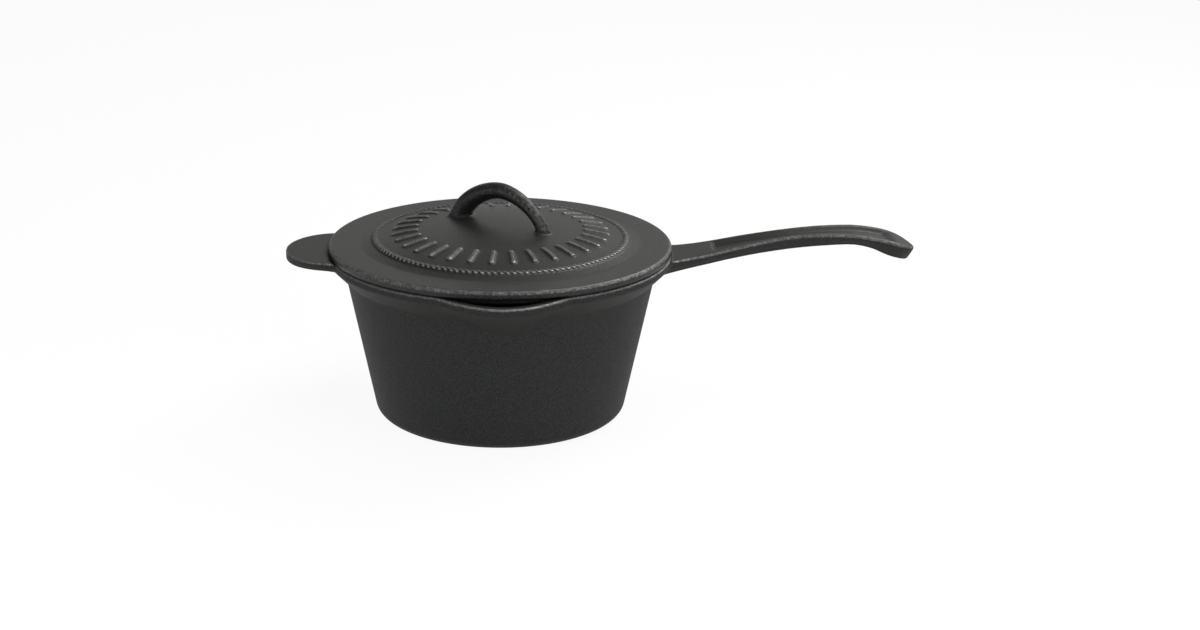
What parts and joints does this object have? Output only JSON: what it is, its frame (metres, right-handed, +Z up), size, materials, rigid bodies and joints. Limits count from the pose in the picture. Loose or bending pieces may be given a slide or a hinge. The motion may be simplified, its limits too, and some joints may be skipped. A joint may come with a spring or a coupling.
{
  "type": "saucepan",
  "caption": "Cast-iron saucepan with a tapered bowl, two pouring lips, a long troughed handle, a helper tab and a loose domed lid with an arched loop.",
  "frame": {"origin": "middle of the pan's flat base, on the surface that it stands on", "axes": "+Z up; the long handle runs along +X and the helper tab along -X; the pouring lips face -Y and +Y"},
  "size_m": [0.3709, 0.2186, 0.1372],
  "materials": {
    "pan": "seasoned, matt black, pebbled by the sand mould",
    "lid": "seasoned, matt black, pebbled by the sand mould"
  },
  "bodies": {
    "pan": {"pan": "pan"},
    "lid": {"lid": "lid"}
  },
  "joints": [
    {"name": "lid_lift", "type": "slide", "parent": "pan", "child": "lid", "axis": [0, 0, 1], "range_m": [0, 0.12]}
  ]
}
